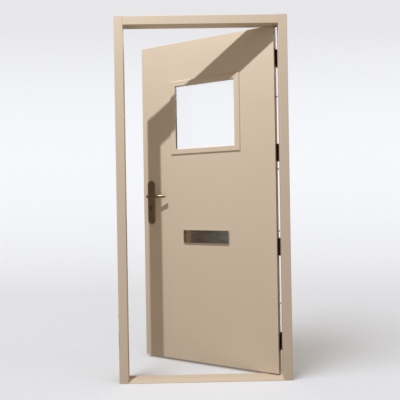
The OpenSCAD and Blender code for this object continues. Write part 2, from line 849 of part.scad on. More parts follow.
// Black gasket that lines the push view and bears on the glass
module push_gasket() {
    color(black_rubber)
    on_leaf()
    translate([0, 0, view_z]) {
        ring(view_w + 2 * lining_t, view_h + 2 * lining_t, view_w, view_h, 0, gasket_face);
        ring(push_cut_w - 2, push_cut_h - 2, view_w, view_h, gasket_face, glass_depth);
    }
}

module outer_pane() {
    color([0.8, 0.9, 0.95, 0.4])
    on_leaf()
    translate([-glass_w / 2, glass_depth, view_z - glass_h / 2]) cube([glass_w, pane_t, glass_h]);
}

module inner_pane() {
    color([0.8, 0.9, 0.95, 0.4])
    on_leaf()
    translate([-glass_w / 2, glass_back - pane_t, view_z - glass_h / 2]) cube([glass_w, pane_t, glass_h]);
}

// Spacer bar round the edge of the glass unit
module pane_spacer() {
    bar = 10;
    color(dark_steel)
    on_leaf()
    translate([0, 0, view_z])
    ring(glass_w, glass_h, glass_w - 2 * bar, glass_h - 2 * bar,
         glass_depth + pane_t, glass_depth + pane_t + spacer_t);
}

module pull_gasket() {
    color(black_rubber)
    on_leaf()
    translate([0, 0, view_z])
    ring(glass_w - 2, glass_h - 2, pull_view_w, pull_view_h, glass_back, glass_back + pull_gasket_t);
}

// Screws round the pull bead, as [x, z] from the window's middle
function bead_screw_places() =
    let (edge = pull_bead_w - bead_screw_edge, n = bead_screws_side - 1)
    let (x = pull_view_w / 2 + edge, z = pull_view_h / 2 + edge)
    [for (k = [0 : n], s = [-1, 1]) let (along = k / n * 2 - 1)
        each [[along * (x - bead_screw_end), s * z], [s * x, along * (z - bead_screw_end)]]];

// Holes in the leaf for the bead screws
module bead_screw_cuts() {
    for (p = bead_screw_places())
        translate([p[0], leaf_t - bead_screw_l - cut, view_z + p[1]])
        rod_y(bead_screw_l + 2 * cut, screw_r + screw_fit);
}

module pull_bead() {
    outer_w = pull_view_w + 2 * pull_bead_w;
    outer_h = pull_view_h + 2 * pull_bead_w;
    color(paint)
    on_leaf()
    translate([0, 0, view_z])
    difference() {
        union() {
            ring(outer_w, outer_h, pull_view_w, pull_view_h, leaf_t, leaf_t + pull_bead_rise);
            ring(well_w - 2 * slack, well_h - 2 * slack, pull_view_w, pull_view_h,
                 glass_back + pull_gasket_t, leaf_t);
        }
        for (p = bead_screw_places())
            translate([p[0], leaf_t + pull_bead_rise, p[1]])
            mirror([0, 1, 0]) sunk_hole_y(pull_bead_rise + cut);
    }
}

module bead_screws() {
    color(zinc)
    on_leaf()
    translate([0, 0, view_z])
    for (p = bead_screw_places())
        translate([p[0], leaf_t + pull_bead_rise, p[1]])
        mirror([0, 1, 0]) sunk_screw_y(pull_bead_rise + bead_screw_l);
}

// ---- Letter plate ----

// Flap's pin: height from the letter plate's middle, and depth from the leaf's face
flap_pin_z = flap_h / 2 - flap_gap - flap_axis_drop;
flap_pin_y = -letter_t + 1 + flap_t / 2;

// Plate with a recess for its flap and the slot behind it
module letter_frame() {
    difference() {
        round_plate(letter_w, letter_h, letter_t, 5);
        span([-flap_w / 2, -letter_t - cut, -flap_h / 2],
             [flap_w / 2, flap_pin_y + flap_t / 2 + 1.2, flap_h / 2]);
        span([-slot_w / 2, -letter_t - cut, -slot_h / 2], [slot_w / 2, cut, slot_h / 2]);
        for (sx = [0, 1]) mirror([sx, 0, 0])
            translate([flap_w / 2 - cut, flap_pin_y, flap_pin_z]) rod_x(5, flap_pin_r + run_fit);
    }
}

// Sprung flap, hung by its top edge
module letter_flap() {
    half = flap_w / 2 - flap_gap;
    low = -flap_h / 2 + flap_gap;
    span([-half, flap_pin_y - flap_t / 2, low], [half, flap_pin_y + flap_t / 2, flap_pin_z]);
    translate([-half, flap_pin_y, flap_pin_z]) rod_x(2 * half, flap_t / 2 + 0.4);
    translate([-half - 4, flap_pin_y, flap_pin_z]) rod_x(2 * half + 8, flap_pin_r);
    // grip along the lower edge
    span([-half, flap_pin_y - flap_t / 2 - 1.2, low], [half, flap_pin_y, low + 3]);
}

module letter_push_frame() {
    color(steel)
    on_leaf()
    difference() {
        translate([0, 0, letter_z]) letter_frame();
        for (sx = [-1, 1])
            translate([sx * letter_bolt_x, -4, letter_z]) rod_y(4 + cut, letter_bolt_r + screw_fit);
    }
}

module letter_pull_frame() {
    color(steel)
    on_leaf()
    difference() {
        pull_side() translate([0, 0, letter_z]) letter_frame();
        for (sx = [-1, 1])
            translate([sx * letter_bolt_x, leaf_t - cut, letter_z]) {
                rod_y(letter_t + 2 * cut, letter_bolt_r + screw_fit);
                translate([0, cut + letter_t - letter_head_t, 0])
                rod_y(letter_head_t + cut, letter_head_r + screw_fit);
            }
    }
}

module letter_sleeve() {
    color(dark_steel)
    on_leaf()
    translate([0, 0, letter_z])
    ring(sleeve_w, sleeve_h, sleeve_w - 2 * sleeve_t, sleeve_h - 2 * sleeve_t, 0, leaf_t);
}

// Through bolts, their heads sunk in the pull side's plate
module letter_bolts() {
    color(steel)
    on_leaf()
    for (sx = [-1, 1])
        translate([sx * letter_bolt_x, 0, letter_z]) {
            translate([0, -3.8, 0]) rod_y(leaf_t + letter_t + 3, letter_bolt_r);
            translate([0, leaf_t + letter_t - letter_head_t, 0])
            rod_y(letter_head_t - slack, letter_head_r);
        }
}

module push_flap() {
    color(steel) on_leaf() translate([0, 0, letter_z]) letter_flap();
}

module pull_flap() {
    color(steel) on_leaf() pull_side() translate([0, 0, letter_z]) letter_flap();
}

// ---- Lock ----

function forend_screw_z() = [forend_mid_z - forend_h / 2 + 10, forend_mid_z + forend_h / 2 - 10];

// Thin box behind the forend, open towards it
module lock_case() {
    low_y = lock_y - case_t / 2;
    high_y = lock_y + case_t / 2;
    color(steel)
    on_leaf()
    difference() {
        span([case_front, low_y, case_bottom], [case_front + case_d, high_y, case_top]);
        span([case_front - cut, low_y + case_wall, case_bottom + case_wall],
             [case_front + case_d - case_wall, high_y - case_wall, case_top - case_wall]);
        translate([lock_x, low_y - cut, spindle_z]) rod_y(case_t + 2 * cut, follower_r + 2);
        translate([lock_x, low_y - cut, cylinder_z]) cylinder_shape(case_t + 2 * cut, slack);
        for (z = handle_bolt_z)
            translate([lock_x, low_y - cut, z]) rod_y(case_t + 2 * cut, handle_bolt_r + screw_fit);
    }
}

module lock_forend() {
    color(steel)
    on_leaf()
    difference() {
        translate([-leaf_x + forend_t, lock_y, forend_mid_z])
        rotate([0, 0, -90]) round_plate(forend_w, forend_h, forend_t, 3);
        bolt_window(latch_z, latch_h, latch_t);
        bolt_window(bolt_z, bolt_h, bolt_t);
        for (z = forend_screw_z())
            translate([-leaf_x, lock_y, z]) along_x() sunk_hole_y(forend_t + cut);
    }
}

// Hole in the forend that a bolt slides through
module bolt_window(z, h, t) {
    span([-leaf_x - cut, lock_y - t / 2 - bolt_slack, z - h / 2 - bolt_slack],
         [-leaf_x + forend_t + cut, lock_y + t / 2 + bolt_slack, z + h / 2 + bolt_slack]);
}

module forend_screws() {
    color(zinc)
    on_leaf()
    for (z = forend_screw_z())
        translate([-leaf_x, lock_y, z]) along_x() sunk_screw_y(12);
}

// Latch, bevelled on its pull side
// The head stands out of the leaf's edge, and the tail runs back over the follower to its lug
module latch_bolt() {
    head_end = forend_t + latch_reach + 3;
    lug_x = backset + 6;
    lug_t = 4;
    tail_low = -2;
    nose = 3;
    bevel = latch_t - nose;
    color(zinc)
    on_leaf()
    translate([-leaf_x, lock_y, latch_z]) {
        translate([0, 0, -latch_h / 2])
        linear_extrude(latch_h)
        polygon([[head_end, -latch_t / 2], [head_end, latch_t / 2], [bevel - latch_reach, latch_t / 2],
            [-latch_reach, latch_t / 2 - bevel], [-latch_reach, -latch_t / 2]]);
        span([head_end, -tail_t / 2, tail_low], [lug_x + lug_t, tail_t / 2, latch_h / 2]);
        span([lug_x, -tail_t / 2, tail_low - 10], [lug_x + lug_t, tail_t / 2, tail_low]);
    }
}

// Square bolt with a flat tail towards the cylinder
module deadbolt() {
    head_end = forend_t + bolt_throw + 4;
    tail_l = 30;
    tail_h = 14;
    color(zinc)
    on_leaf()
    translate([-leaf_x, lock_y, bolt_z]) {
        span([0, -bolt_t / 2, -bolt_h / 2], [head_end, bolt_t / 2, bolt_h / 2]);
        span([head_end, -tail_t / 2, bolt_h / 2 - tail_h], [head_end + tail_l, tail_t / 2, bolt_h / 2]);
    }
}

// Hub that the spindle turns, with the arm that draws the latch back
module follower() {
    hub_l = case_t - 2;
    arm_l = 22;
    arm_w = 4;
    arm_t = 6;
    hole = spindle_side + 2 * screw_fit;
    color(zinc)
    on_leaf()
    translate([lock_x, lock_y, spindle_z])
    difference() {
        union() {
            translate([0, -hub_l / 2, 0]) rod_y(hub_l, follower_r);
            span([-arm_w / 2, -arm_t / 2, 0], [arm_w / 2, arm_t / 2, arm_l]);
        }
        span([-hole / 2, -hub_l, -hole / 2], [hole / 2, hub_l, hole / 2]);
    }
}

module spindle() {
    reach = backplate_t + spindle_grip;
    color(zinc)
    on_leaf()
    translate([lock_x, 0, spindle_z])
    span([-spindle_side / 2, -reach, -spindle_side / 2],
         [spindle_side / 2, leaf_t + reach, spindle_side / 2]);
}

// Key cylinder with a gap at its middle for the cam
module lock_cylinder() {
    over = backplate_t + cylinder_over;
    color(steel)
    on_leaf()
    translate([lock_x, 0, cylinder_z])
    difference() {
        translate([0, -over, 0]) cylinder_shape(leaf_t + 2 * over, 0);
        translate([0, -over - cut, 0]) rod_y(leaf_t + 2 * over + 2 * cut, plug_r + run_fit);
        span([-cam_r - 2, lock_y - cam_w / 2 - slack, -cam_r - 1],
             [cam_r + 2, lock_y + cam_w / 2 + slack, cylinder_r + cut]);
    }
}

module cylinder_cam() {
    cam_t = 6;
    color(zinc)
    on_leaf()
    translate([lock_x, lock_y, cylinder_z]) {
        translate([0, -cam_w / 2, 0]) rod_y(cam_w, plug_r);
        span([-cam_t / 2, -cam_w / 2, 0], [cam_t / 2, cam_w / 2, cam_r]);
    }
}

// Plug on the push side, with its keyway
module push_plug() {
    keyway_w = 2.2;
    keyway_h = 7;
    keyway_end = 14;
    over = backplate_t + cylinder_over;
    color(steel)
    on_leaf()
    translate([lock_x, 0, cylinder_z])
    difference() {
        translate([0, -over, 0]) rod_y(over + lock_y - cam_w / 2, plug_r);
        span([-keyway_w / 2, -over - cut, -keyway_h / 2], [keyway_w / 2, keyway_end, keyway_h / 2]);
    }
}

// Plug on the pull side, with its turn
module thumb_turn() {
    shank = 8;
    rose_t = 4;
    rose_r = 11;
    grip_t = 8;
    grip_r = 7;
    grip_z = 14;
    cam_end = lock_y + cam_w / 2;
    rose_y = leaf_t + backplate_t + cylinder_over + shank;
    grip_y = rose_y + rose_t;
    color(steel)
    on_leaf()
    translate([lock_x, 0, cylinder_z]) {
        translate([0, cam_end, 0]) rod_y(rose_y - cam_end, plug_r);
        translate([0, rose_y, 0]) rod_y(rose_t, rose_r);
        span([-grip_t / 2, grip_y, -grip_z], [grip_t / 2, grip_y + 2 * grip_r, grip_z]);
        for (s = [-1, 1])
            translate([-grip_t / 2, grip_y + grip_r, s * grip_z]) rod_x(grip_t, grip_r);
    }
}

// ---- Handles ----

// Backplate with half-round ends, bored for the neck, the cylinder and the bolts
module backplate() {
    r = backplate_w / 2;
    straight = backplate_h / 2 - r;
    bevel = 3;
    difference() {
        translate([lock_x, -backplate_t, plate_mid_z]) {
            for (s = [-1, 1])
                translate([0, 0, s * straight]) {
                    translate([0, bevel, 0]) rod_y(backplate_t - bevel, r);
                    rotate([-90, 0, 0]) cylinder(h = bevel, r1 = r - bevel, r2 = r);
                }
            span([-r, bevel, -straight], [r, backplate_t, straight]);
            translate([0, 0, -straight])
            linear_extrude(2 * straight)
            polygon([[bevel - r, 0], [r - bevel, 0], [r, bevel], [-r, bevel]]);
        }
        translate([lock_x, -backplate_t - cut, spindle_z]) rod_y(backplate_t + 2 * cut, neck_r + run_fit);
        translate([lock_x, -backplate_t - cut, cylinder_z]) cylinder_shape(backplate_t + 2 * cut, slack);
    }
}

// Lever: a neck out of the backplate, a round elbow, and a bar towards the hinge side
module lever() {
    taper = 30;
    end_x = lever_l - lever_r;
    hole = spindle_side + 2 * screw_fit;
    translate([lock_x, 0, spindle_z])
    difference() {
        union() {
            translate([0, -lever_out, 0]) {
                rod_y(lever_out - slack, neck_r);
                sphere(r = neck_r);
                rotate([0, 90, 0]) cylinder(h = taper, r1 = neck_r, r2 = lever_r);
                translate([taper, 0, 0]) rod_x(end_x - taper, lever_r);
                translate([end_x, 0, 0]) sphere(r = lever_r);
            }
        }
        span([-hole / 2, -backplate_t - spindle_grip - cut, -hole / 2], [hole / 2, cut, hole / 2]);
    }
}

module push_handle_plate() {
    color(dark_steel)
    on_leaf()
    difference() {
        backplate();
        for (z = handle_bolt_z)
            translate([lock_x, handle_bolt_end - backplate_t, z])
            rod_y(backplate_t, handle_bolt_r + screw_fit);
    }
}

module pull_handle_plate() {
    color(dark_steel)
    on_leaf()
    difference() {
        pull_side() backplate();
        for (z = handle_bolt_z)
            translate([lock_x, leaf_t + backplate_t, z]) mirror([0, 1, 0]) sunk_hole_y(backplate_t + cut);
    }
}

// Bolts that draw the two backplates together
module handle_bolts() {
    color(steel)
    on_leaf()
    for (z = handle_bolt_z)
        translate([lock_x, leaf_t + backplate_t, z])
        mirror([0, 1, 0]) sunk_screw_y(leaf_t + 2 * backplate_t - handle_bolt_end - slack);
}

module push_lever() {
    color(dark_steel) on_leaf() lever();
}

module pull_lever() {
    color(dark_steel) on_leaf() pull_side() lever();
}

hinge_jamb();
lock_jamb();
frame_head();
threshold();
corner_brackets();
corner_screws();
frame_seal();
hinge_backers();
keep_plate();
keep_box();
keep_screws();
frame_hinge(0);  // frame_hinge_1
frame_hinge(1);  // frame_hinge_2
frame_hinge(2);  // frame_hinge_3
frame_hinge(3);  // frame_hinge_4
hinge_pins();
frame_hinge_screws();
push_skin();
pull_skin();
leaf_core();
leaf_channels();
lock_stile();
hinge_stile();
push_bead();
pull_bead();
push_gasket();
pull_gasket();
outer_pane();
inner_pane();
pane_spacer();
bead_screws();
door_hinge(0);  // door_hinge_1
door_hinge(1);  // door_hinge_2
door_hinge(2);  // door_hinge_3
door_hinge(3);  // door_hinge_4
door_hinge_screws();
dog_bolts();
letter_push_frame();
letter_pull_frame();
letter_sleeve();
letter_bolts();
lock_case();
lock_forend();
forend_screws();
lock_cylinder();
push_handle_plate();
pull_handle_plate();
handle_bolts();
push_flap();
pull_flap();
latch_bolt();
deadbolt();
follower();
spindle();
push_lever();
pull_lever();
cylinder_cam();
push_plug();
thumb_turn();
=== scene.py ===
"""Looks of a glazed steel door in its frame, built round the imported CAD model. Sizes are in metres."""
import json
import math

import bmesh
import bpy
from mathutils import Matrix, Vector


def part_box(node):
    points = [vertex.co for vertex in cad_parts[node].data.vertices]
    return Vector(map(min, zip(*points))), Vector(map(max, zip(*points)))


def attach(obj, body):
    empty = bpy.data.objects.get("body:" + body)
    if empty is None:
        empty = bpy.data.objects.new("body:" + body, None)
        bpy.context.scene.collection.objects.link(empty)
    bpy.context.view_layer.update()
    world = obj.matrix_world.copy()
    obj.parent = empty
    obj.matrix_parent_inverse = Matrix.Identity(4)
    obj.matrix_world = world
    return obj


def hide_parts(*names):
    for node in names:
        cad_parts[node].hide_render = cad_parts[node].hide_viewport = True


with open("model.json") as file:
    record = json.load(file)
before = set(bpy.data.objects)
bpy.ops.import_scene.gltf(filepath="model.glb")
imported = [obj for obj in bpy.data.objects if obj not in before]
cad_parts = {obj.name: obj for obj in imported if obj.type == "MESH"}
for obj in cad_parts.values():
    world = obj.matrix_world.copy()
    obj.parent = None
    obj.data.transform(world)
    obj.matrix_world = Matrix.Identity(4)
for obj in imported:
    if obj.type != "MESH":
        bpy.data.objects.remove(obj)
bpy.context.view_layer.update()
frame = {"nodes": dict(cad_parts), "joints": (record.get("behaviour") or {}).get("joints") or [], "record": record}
nodes = frame["nodes"]
slot_of = {part["node"]: part["material_slot"] for part in frame["record"]["subparts"]}


# ---- Places, read from the frame ----

MM = 0.001
RIGHT = Vector((1, 0, 0))
INTO = Vector((0, 1, 0))
UP = Vector((0, 0, 1))


def joint(name):
    """The record's joint of that name."""
    return next(j for j in frame["joints"] if j["name"] == name)


def open_turn():
    """Takes a point of the shut leaf to where the leaf stands ajar."""
    swing = joint("door_swing")
    pin = Vector(swing["pos_m"])
    turn = Matrix.Rotation(math.radians(swing["range_deg"][0]), 4, "Z")
    return Matrix.Translation(pin) @ turn @ Matrix.Translation(-pin)


LEAF = open_turn()
SHUT = LEAF.inverted()
LEAF_TURN = math.radians(-joint("door_swing")["range_deg"][0])


def shut_points(node):
    """A leaf node's vertices with the leaf shut, where its sides are square to the axes."""
    return [SHUT @ v.co for v in nodes[node].data.vertices]


def shut_box(node):
    """Lowest and highest corner of a leaf node with the leaf shut."""
    points = shut_points(node)
    low = Vector(min(p[i] for p in points) for i in range(3))
    high = Vector(max(p[i] for p in points) for i in range(3))
    return low, high


PUSH_FACE = shut_box("push_skin")[0].y
PULL_FACE = shut_box("pull_skin")[1].y
SPINDLE = SHUT @ Vector(joint("handle_turn")["pos_m"])
FRAME_LOW = Vector(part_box("lock_jamb")[0])
OPENING_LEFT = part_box("lock_jamb")[1][0]
OPENING_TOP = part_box("frame_head")[0][2]


# ---- Shader nodes ----

def add_node(tree, kind, sockets=None, **properties):
    """A shader node of that kind, with its sockets and properties set."""
    made = tree.nodes.new("ShaderNode" + kind)
    for name, value in properties.items():
        setattr(made, name, value)
    for name, value in (sockets or {}).items():
        made.inputs[name].default_value = value
    return made


def mix_shaders(tree, share, first, second):
    """The first shader, giving way to the second as share goes from 0 to 1."""
    mix = add_node(tree, "MixShader")
    for socket, out in zip(mix.inputs, (share, first, second)):
        tree.links.new(out, socket)
    return mix.outputs[0]


def rgb(red, green, blue):
    """A colour given as sRGB from 0 to 255, made linear."""
    def linear(v):
        v = v / 255
        return v / 12.92 if v <= 0.04045 else ((v + 0.055) / 1.055) ** 2.4
    return (linear(red), linear(green), linear(blue), 1)


def scaled(colour, share):
    """A colour made darker or lighter."""
    return tuple(min(1, c * share) for c in colour[:3]) + (1,)


class Surface:
    """A material with one Principled shader. Colour, roughness and bump are each built in steps."""

    def __init__(self, name, colour, metallic=0.0, roughness=0.5, sockets=None):
        self.material = bpy.data.materials.new(name)
        self.material.use_nodes = True
        self.tree = self.material.node_tree
        self.shader = self.tree.nodes["Principled BSDF"]
        first = {"Base Color": colour, "Metallic": metallic, "Roughness": roughness}
        for key, value in (first | (sockets or {})).items():
            self.shader.inputs[key].default_value = value
        self.place = add_node(self.tree, "TexCoord").outputs["Object"]
        self.colour = colour
        self.colour_out = None
        self.roughness_out = None
        self.normal_out = None

    def link(self, a, b):
        self.tree.links.new(a, b)

    def stretched(self, scale, turned=0.0):
        """Texture places scaled along X, Y and Z, first turned about Z."""
        turn = add_node(self.tree, "Mapping", {"Rotation": (0, 0, turned)}, vector_type="POINT")
        self.link(self.place, turn.inputs["Vector"])
        size = add_node(self.tree, "Mapping", {"Scale": scale}, vector_type="POINT")
        self.link(turn.outputs[0], size.inputs["Vector"])
        return size.outputs[0]

    def noise(self, scale, detail=3.0, place=None):
        made = add_node(self.tree, "TexNoise", {"Scale": scale, "Detail": detail})
        self.link(place or self.place, made.inputs["Vector"])
        return made.outputs["Fac"]

    def cells(self, scale, **properties):
        """Distances within a pattern of cells."""
        made = add_node(self.tree, "TexVoronoi", {"Scale": scale}, **properties)
        self.link(self.place, made.inputs["Vector"])
        return made.outputs["Distance"]

    def ramp(self, value, low, high, start=0.0, end=1.0):
        """Value from low to high becomes start to end."""
        sockets = {"From Min": low, "From Max": high, "To Min": start, "To Max": end}
        made = add_node(self.tree, "MapRange", sockets)
        self.link(value, made.inputs["Value"])
        return made.outputs["Result"]

    def tint(self, value, colour):
        """Mixes colour in where value is high."""
        mix = add_node(self.tree, "Mix", data_type="RGBA")
        share, first, second = mix.inputs[0], mix.inputs[6], mix.inputs[7]
        first.default_value = self.colour
        second.default_value = colour
        self.link(value, share)
        if self.colour_out is not None:
            self.link(self.colour_out, first)
        self.colour_out = mix.outputs[2]

    def mottle(self, colour, scale, detail, low, high, share=1.0):
        """Mixes up to a share of colour in where noise goes from low to high."""
        self.tint(self.ramp(self.noise(scale, detail), low, high, 0.0, share), colour)

    def rough(self, value, low, high):
        """Roughness from low to high over the middle of a noise."""
        self.roughness_out = self.ramp(value, 0.3, 0.7, low, high)

    def edges(self, radius):
        """Rounds what light sees of sharp edges."""
        made = add_node(self.tree, "Bevel", {"Radius": radius}, samples=4)
        self.normal_out = made.outputs["Normal"]

    def bump(self, value, depth, strength=1.0):
        made = add_node(self.tree, "Bump", {"Strength": strength, "Distance": depth})
        self.link(value, made.inputs["Height"])
        if self.normal_out is not None:
            self.link(self.normal_out, made.inputs["Normal"])
        self.normal_out = made.outputs["Normal"]

    def product(self, *values):
        """Values multiplied with one another."""
        result = values[0]
        for value in values[1:]:
            made = add_node(self.tree, "Math", operation="MULTIPLY")
            self.link(result, made.inputs[0])
            self.link(value, made.inputs[1])
            result = made.outputs[0]
        return result

    def done(self):
        for out, socket in ((self.colour_out, "Base Color"), (self.roughness_out, "Roughness"),
                            (self.normal_out, "Normal")):
            if out is not None:
                self.link(out, self.shader.inputs[socket])
        return self.material


# ---- Materials ----

BEIGE = rgb(221, 203, 181)
DARK_MARK_COLOUR = rgb(70, 58, 46)
DARK_MARKS_FROM_FLOOR = (0.18, 0.22, 0.38, 0.43)     # heights where they begin, are full, fade and end


def powder_coat(name="beige_paint", marked=False):
    """Satin beige powder coat with a fine orange peel and a slow drift of tone."""
    s = Surface(name, BEIGE, roughness=0.42, sockets={"Specular IOR Level": 0.45})
    s.mottle(scaled(BEIGE, 0.95), 1.7, 4.0, 0.35, 0.7, 0.5)
    s.mottle(scaled(BEIGE, 0.93), 620, 2.0, 0.45, 0.8, 0.35)
    s.rough(s.noise(9, 5.0), 0.38, 0.5)
    if marked:
        add_dark_marks(s)
    s.edges(0.9 * MM)
    s.bump(s.noise(420, 2.0), 0.05 * MM, 0.6)
    return s.done()


def add_dark_marks(s):
    """Small dark marks in patches along the lock jamb's outer front edge, low down."""
    axis = add_node(s.tree, "SeparateXYZ")
    s.link(s.place, axis.inputs[0])
    outer, front = FRAME_LOW.x, FRAME_LOW.y
    begin, full, fade, end = DARK_MARKS_FROM_FLOOR
    near_side = s.ramp(axis.outputs["X"], outer + 1.2 * MM, outer + 3.0 * MM, 1.0, 0.0)
    near_front = s.ramp(axis.outputs["Y"], front + 4 * MM, front + 9 * MM, 1.0, 0.0)
    above = s.ramp(axis.outputs["Z"], begin, full)
    below = s.ramp(axis.outputs["Z"], fade, end, 1.0, 0.0)
    patches = s.ramp(s.noise(16, 3.0), 0.47, 0.53)
    s.tint(s.product(near_side, near_front, above, below, patches), DARK_MARK_COLOUR)


def brushed(name, colour, roughness, lines_scale):
    """Metal with fine lines along the way of the smallest scale."""
    s = Surface(name, colour, metallic=1.0, roughness=roughness)
    lines = s.noise(1.0, 4.0, s.stretched(lines_scale))
    s.tint(s.ramp(lines, 0.3, 0.75), scaled(colour, 0.9))
    s.mottle(scaled(colour, 0.85), 30, 4.0, 0.5, 0.75, 0.4)
    s.rough(lines, roughness - 0.05, roughness + 0.1)
    s.edges(0.35 * MM)
    s.bump(lines, 0.03 * MM, 0.35)
    return s.done()


def zinc_plate(name="zinc_steel"):
    """Zinc with its pale crystals."""
    s = Surface(name, rgb(192, 190, 182), metallic=1.0, roughness=0.42)
    s.tint(s.ramp(s.cells(160), 0.1, 0.8), rgb(160, 160, 156))
    s.mottle(rgb(206, 200, 186), 45, 5.0, 0.45, 0.7, 0.6)
    s.rough(s.noise(70, 4.0), 0.34, 0.52)
    s.edges(0.4 * MM)
    s.bump(s.noise(300, 3.0), 0.03 * MM, 0.4)
    return s.done()


def dark_polish(name, colour, roughness, waves, wave_depth):
    """Polished darkened metal whose surface isn't quite flat, so that reflections waver."""
    s = Surface(name, colour, metallic=1.0, roughness=roughness)
    s.mottle(scaled(colour, 0.72), 14, 4.0, 0.4, 0.7)
    s.mottle(scaled(colour, 1.25), 260, 3.0, 0.55, 0.8, 0.5)
    s.rough(s.noise(55, 5.0), roughness - 0.03, roughness + 0.09)
    s.edges(0.6 * MM)
    s.bump(s.noise(1.0, 2.0, s.stretched(waves, LEAF_TURN)), wave_depth)
    s.bump(s.noise(900, 2.0), 0.01 * MM, 0.4)
    return s.done()


def rubber(name="black_seal"):
    """Matt black sealing rubber, greyer in patches."""
    s = Surface(name, rgb(30, 29, 28), roughness=0.6, sockets={"Specular IOR Level": 0.35})
    s.mottle(rgb(52, 50, 48), 90, 4.0, 0.4, 0.75)
    s.rough(s.noise(140, 3.0), 0.5, 0.75)
    s.edges(0.4 * MM)
    s.bump(s.noise(700, 2.0), 0.04 * MM, 0.5)
    return s.done()


def moulded(name, colour, grain=900):
    """Plain moulded plastic with a fine grain."""
    s = Surface(name, colour, roughness=0.5, sockets={"Specular IOR Level": 0.4})
    s.mottle(scaled(colour, 0.8), 40, 3.0, 0.4, 0.7)
    s.rough(s.noise(120, 3.0), 0.42, 0.6)
    s.edges(0.4 * MM)
    s.bump(s.noise(grain, 1.0), 0.05 * MM, 0.5)
    return s.done()


def core_paper(name="core_board"):
    """Kraft honeycomb, seen only if the leaf is opened up."""
    s = Surface(name, rgb(178, 150, 108), roughness=0.85)
    to_wall = s.cells(60, feature="DISTANCE_TO_EDGE")
    s.tint(s.ramp(to_wall, 0.02, 0.08, 1.0, 0.0), rgb(128, 102, 66))
    s.bump(to_wall, 1.0 * MM, 0.5)
    return s.done()


def clear_glass(name="clear_glass"):
    """Clear float glass that lets lamps through, with the faintest haze. A low IOR keeps two panes clear."""
    s = Surface(name, (1, 1, 1, 1), roughness=0.0, sockets={"Transmission Weight": 1.0, "IOR": 1.25})
    s.roughness_out = s.ramp(s.noise(7, 4.0), 0.5, 0.9, 0.0, 0.02)
    material = s.done()
    path = add_node(s.tree, "LightPath")
    through = add_node(s.tree, "BsdfTransparent", {"Color": (0.94, 0.965, 0.955, 1)})
    mixed = mix_shaders(s.tree, path.outputs["Is Shadow Ray"], s.shader.outputs[0], through.outputs[0])
    s.link(mixed, s.tree.nodes["Material Output"].inputs["Surface"])
    return material


STEEL_DARK = rgb(205, 198, 190)
BRONZE = rgb(196, 176, 146)

MATERIALS = {
    "beige_paint": powder_coat(),
    "zinc_steel": zinc_plate(),
    "satin_steel": brushed("satin_steel", rgb(168, 162, 152), 0.34, (12, 900, 900)),
    "hinge_steel": brushed("hinge_steel", rgb(124, 112, 92), 0.4, (900, 900, 14)),
    "polished_dark_steel": dark_polish("polished_dark_steel", STEEL_DARK, 0.07, (7, 7, 90), 0.5 * MM),
    "handle_bronze": dark_polish("handle_bronze", BRONZE, 0.3, (30, 30, 30), 0.2 * MM),
    "cylinder_nickel": brushed("cylinder_nickel", rgb(150, 142, 128), 0.3, (700, 700, 40)),
    "black_seal": rubber(),
    "clear_glass": clear_glass(),
    "spacer_bar": moulded("spacer_bar", rgb(96, 98, 100), 1400),
    "core_board": core_paper(),
    "sleeve_plastic": moulded("sleeve_plastic", rgb(42, 40, 38)),
}


# ---- Mesh helpers ----

def add_piece(name, mesh, body, slot, replaced=(), smooth=True):
    """A piece made from a bmesh, with the finish of a slot, riding on a body."""
    data = bpy.data.meshes.new(name)
    bmesh.ops.recalc_face_normals(mesh, faces=mesh.faces)
    mesh.to_mesh(data)
    mesh.free()
    for face in data.polygons:
        face.use_smooth = smooth
    piece = bpy.data.objects.new(name, data)
    bpy.context.scene.collection.objects.link(piece)
    data.materials.append(MATERIALS[slot])
    if replaced:
        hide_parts(*replaced)
    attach(piece, body)


def circle(count):
    """Points evenly round a circle of radius 1."""
    angles = [2 * math.pi * k / count for k in range(count)]
    return [(math.cos(a), math.sin(a)) for a in angles]


def ring_of(mesh, centre, side, up, half_side, half_up, count, power=2.0):
    """A ring of vertices on an ellipse, or a squarer curve as power grows past 2."""
    made = []
    for c, s in circle(count):
        a = math.copysign(abs(c) ** (2 / power), c) * half_side
        b = math.copysign(abs(s) ** (2 / power), s) * half_up
        made.append(mesh.verts.new(centre + side * a + up * b))
    return made


def skin_rings(mesh, rings, closed_start=True, closed_end=True):
    """Faces between rings of as many vertices each, and caps on the ends."""
    for a, b in zip(rings, rings[1:]):
        for k in range(len(a)):
            n = (k + 1) % len(a)
            mesh.faces.new((a[k], a[n], b[n], b[k]))
    if closed_start:
        mesh.faces.new(list(reversed(rings[0])))
    if closed_end:
        mesh.faces.new(rings[-1])


# ---- Levers and their collars ----

NECK_R = 9.4 * MM
NECK_START = 2 * MM                 # how far off the leaf's face the neck begins, inside the backplate
NECK_SHAPE = ((0, 10.0), (0.35, 9.2), (0.75, 9.0), (1.0, 9.2))      # share of its length, radius in mm
HEEL_PAST = 0.8 * MM                # how far the grip's heel stands past the neck
GRIP_BACK = 13.5 * MM               # how far the grip's end comes back towards the leaf
GRIP_BEND_FROM = 0.55               # share of the grip where it starts to bend back
GRIP_THINNER = 2.6 * MM             # what its half thickness loses where it is thinnest
GRIP_LOWER = 0.9 * MM               # the same for its half height
GRIP_THIN_FROM = 0.1                # share of the grip where it starts to thin
GRIP_SQUARENESS = 2.4
HEEL_NOSE = 0.075                   # share of the grip that its rounded ends take up
TIP_NOSE = 0.07
NOSE_BLUNT = 0.02
LEVER_SIDES = 32
GRIP_STEPS = 44


def nose_width(share):
    """Width of a round nose, from its blunt tip at share 0 to all of its width at share 1."""
    share = min(1, max(0, share))
    return min(1, math.sqrt(1 - (1 - share) ** 2) + NOSE_BLUNT)


